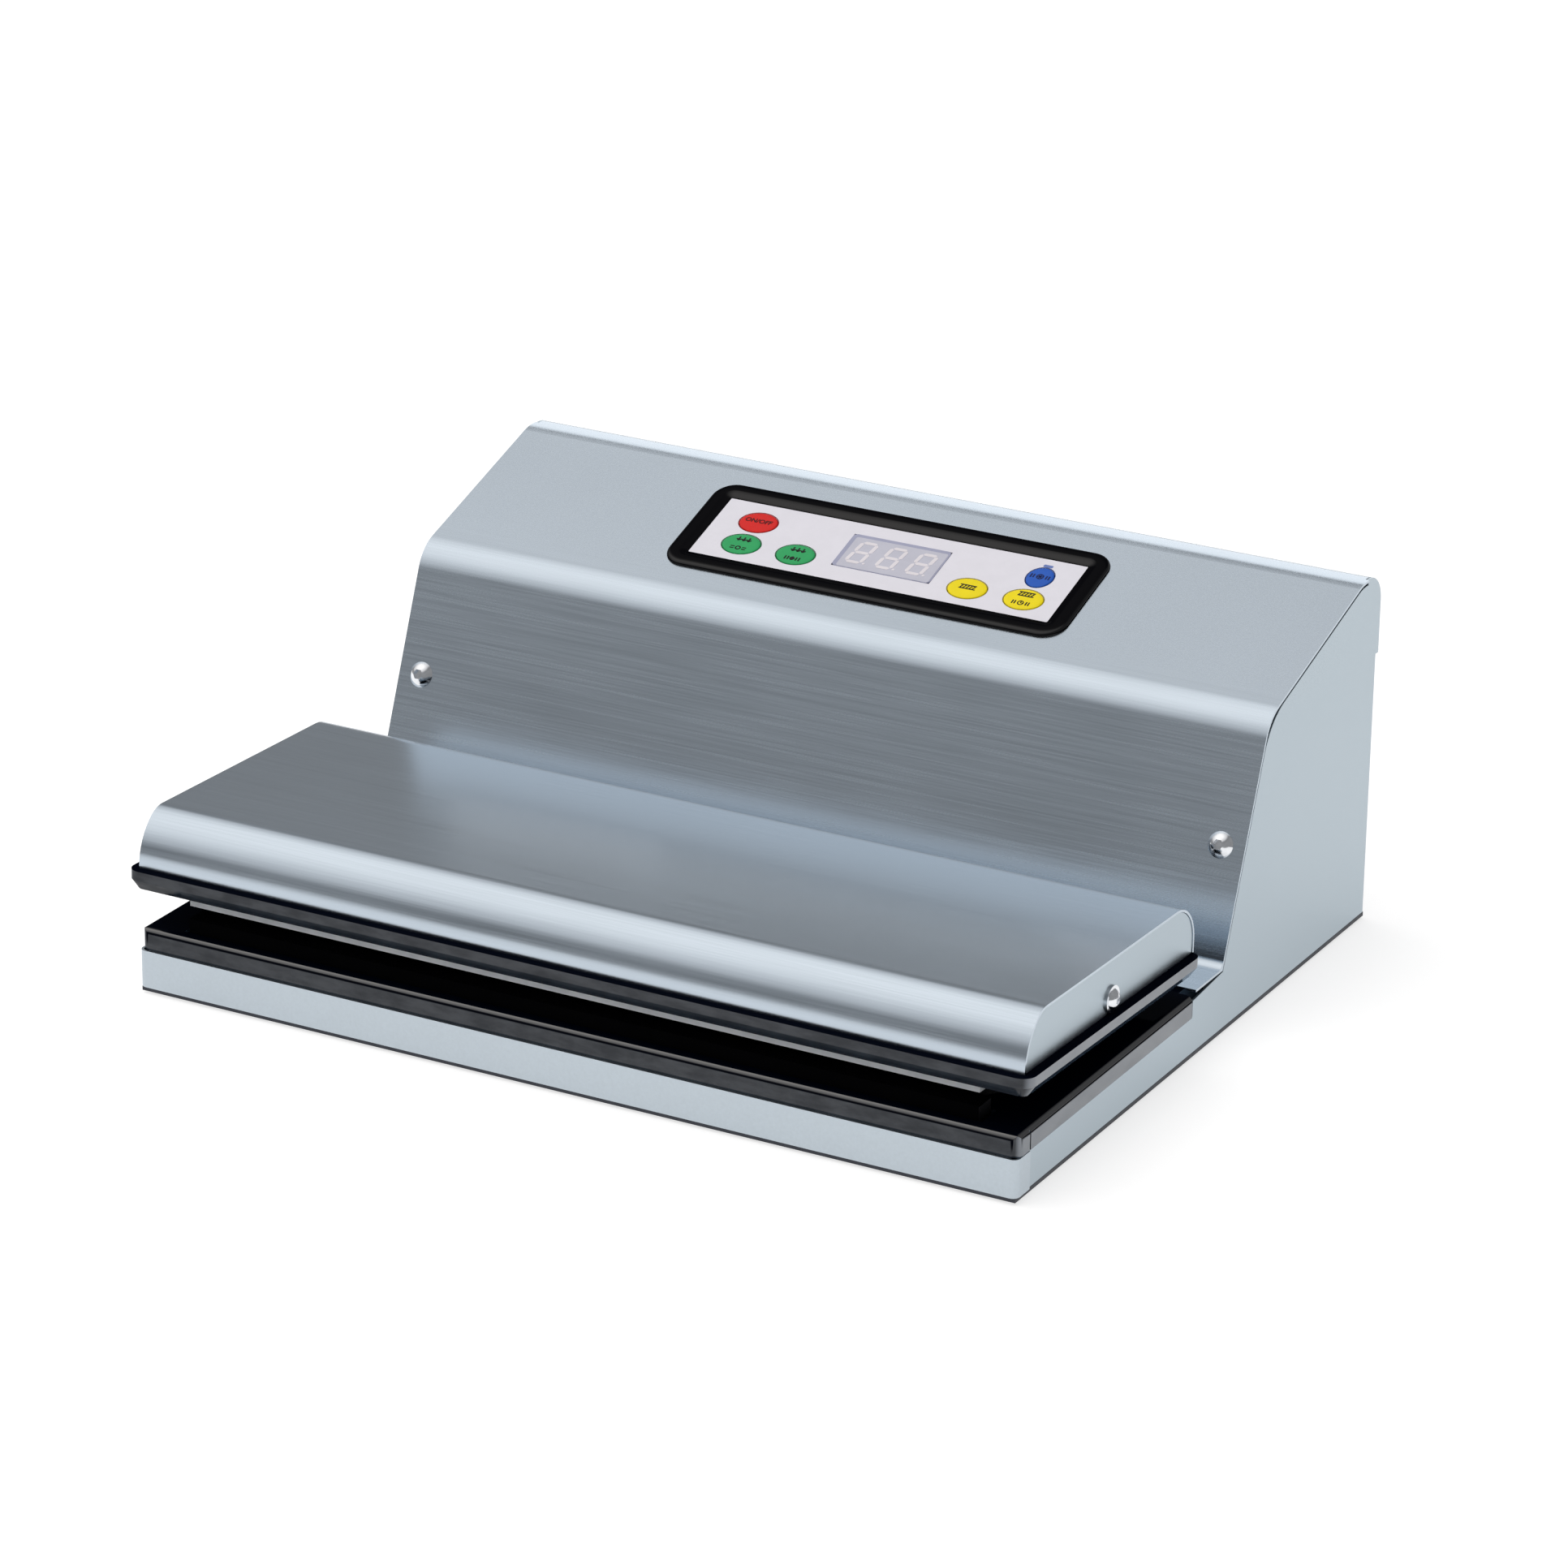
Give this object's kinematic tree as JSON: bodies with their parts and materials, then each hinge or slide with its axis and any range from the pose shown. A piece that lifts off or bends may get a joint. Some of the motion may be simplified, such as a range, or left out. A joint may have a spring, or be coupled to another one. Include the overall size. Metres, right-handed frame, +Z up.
{
  "type": "vacuum sealer",
  "caption": "Countertop bar vacuum sealer: brushed steel housing with a sloped key panel, a sprung hinged lid, black vacuum trays and a full-width sealing bar.",
  "frame": {"origin": "on the ground, under the middle of the bounding box", "axes": "+X to the right across the front, +Y from the front to the back, +Z up"},
  "size_m": [0.399, 0.3206, 0.1512],
  "materials": {
    "brushed_steel": "brushed along the width",
    "bright_metal": "polished",
    "aluminium": "satin",
    "black_gloss": "glossy",
    "dark_metal": "satin black",
    "dark_plastic": "matt",
    "rubber_black": "matt",
    "silicone_white": "matt",
    "white_film": "satin",
    "red_film": "satin",
    "green_film": "satin",
    "yellow_film": "satin",
    "blue_film": "satin",
    "window": "clear over a pale face",
    "brass": "satin",
    "board": "satin",
    "coil": "varnished"
  },
  "bodies": {
    "base": {"bottom_plate": "dark_metal", "base_tray": "brushed_steel", "side_plate_left": "brushed_steel", "side_plate_right": "brushed_steel", "front_panel": "brushed_steel", "rear_panel": "brushed_steel", "hinge_brackets": "bright_metal", "hinge_pins": "bright_metal", "face_screws": "bright_metal", "rear_screws": "bright_metal", "bottom_screws": "bright_metal", "inlet_pins": "bright_metal", "pump_motor": "bright_metal", "hinge_springs": "bright_metal", "seal_bar": "aluminium", "chamber_plate": "black_gloss", "bezel": "black_gloss", "bar_tape": "dark_plastic", "release_valve": "dark_plastic", "vacuum_pump": "dark_plastic", "display_module": "dark_plastic", "power_inlet": "dark_plastic", "lid_switch": "dark_plastic", "rubber_feet": "rubber_black", "lower_gasket": "rubber_black", "vacuum_hose": "rubber_black", "key_panel": "white_film", "display_window": "window", "heater_wire": "brass", "vacuum_port": "brass", "power_board": "board", "control_board": "board", "transformer": "coil"},
    "lid": {"lid_cover": "brushed_steel", "lid_end_left": "brushed_steel", "lid_end_right": "brushed_steel", "lid_tray": "black_gloss", "lid_gasket": "rubber_black", "silicone_bar": "silicone_white", "lid_stiffener": "brushed_steel", "hinge_leaves": "bright_metal", "hinge_rivets": "bright_metal", "lid_screws": "bright_metal", "lid_washers": "bright_metal"},
    "key_power": {"key_power": "red_film"},
    "key_vacuum_auto": {"key_vacuum_auto": "green_film"},
    "key_vacuum_manual": {"key_vacuum_manual": "green_film"},
    "key_seal": {"key_seal": "yellow_film"},
    "key_seal_time": {"key_seal_time": "yellow_film"},
    "key_pump": {"key_pump": "blue_film"}
  },
  "joints": [
    {"name": "lid_hinge", "type": "hinge", "parent": "base", "child": "lid", "pos_m": [0, 0.006, 0.04], "axis": [-1, 0, 0], "range_deg": [-1.8, 72], "stiffness_Nm_per_rad": 1.5, "springref_deg": 40.85},
    {"name": "key_power_press", "type": "slide", "parent": "base", "child": "key_power", "axis": [0, 0.3156, -0.9489], "range_m": [0, 0.0006], "stiffness_N_per_m": 400, "springref_m": -0.0006},
    {"name": "key_vacuum_auto_press", "type": "slide", "parent": "base", "child": "key_vacuum_auto", "axis": [0, 0.3156, -0.9489], "range_m": [0, 0.0006], "stiffness_N_per_m": 400, "springref_m": -0.0006},
    {"name": "key_vacuum_manual_press", "type": "slide", "parent": "base", "child": "key_vacuum_manual", "axis": [0, 0.3156, -0.9489], "range_m": [0, 0.0006], "stiffness_N_per_m": 400, "springref_m": -0.0006},
    {"name": "key_seal_press", "type": "slide", "parent": "base", "child": "key_seal", "axis": [0, 0.3156, -0.9489], "range_m": [0, 0.0006], "stiffness_N_per_m": 400, "springref_m": -0.0006},
    {"name": "key_seal_time_press", "type": "slide", "parent": "base", "child": "key_seal_time", "axis": [0, 0.3156, -0.9489], "range_m": [0, 0.0006], "stiffness_N_per_m": 400, "springref_m": -0.0006},
    {"name": "key_pump_press", "type": "slide", "parent": "base", "child": "key_pump", "axis": [0, 0.3156, -0.9489], "range_m": [0, 0.0006], "stiffness_N_per_m": 400, "springref_m": -0.0006}
  ]
}
